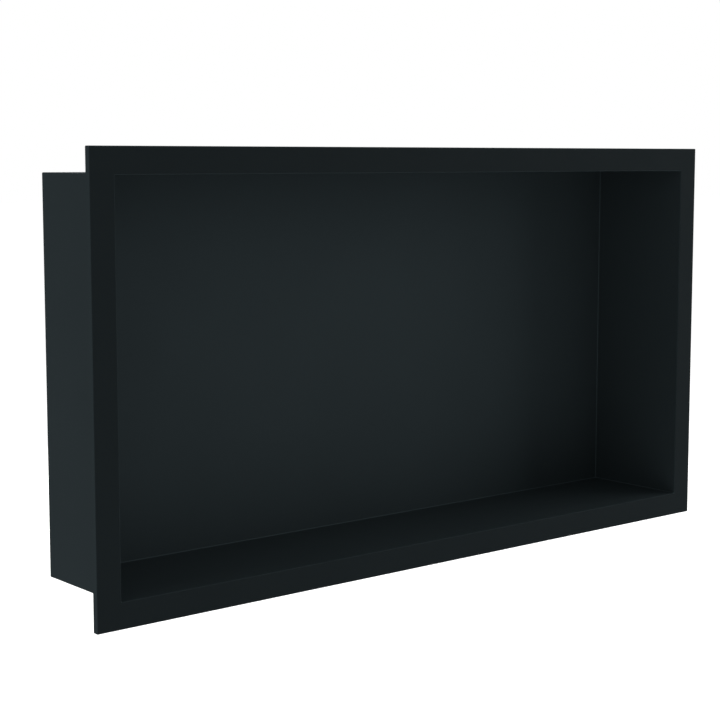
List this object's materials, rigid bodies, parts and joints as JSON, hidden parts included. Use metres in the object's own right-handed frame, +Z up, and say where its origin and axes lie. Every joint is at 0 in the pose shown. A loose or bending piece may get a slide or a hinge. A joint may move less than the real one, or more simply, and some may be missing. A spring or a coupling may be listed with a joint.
{
  "type": "shower niche insert",
  "caption": "Recessed shelf box of folded steel sheet for a shower wall, open at the front, with a thin flange turned back round the opening to cover the cut tiles. Matt black.",
  "frame": {"origin": "middle of the opening, in the plane of the flange's rear rim, which is the face of the finished wall", "axes": "+X to the right as seen from the room, +Y into the wall, +Z up"},
  "size_m": [0.64, 0.1, 0.34],
  "materials": {
    "powder_coat": "matt black powder coat"
  },
  "bodies": {
    "root": {"niche_insert": "powder_coat"}
  },
  "joints": []
}
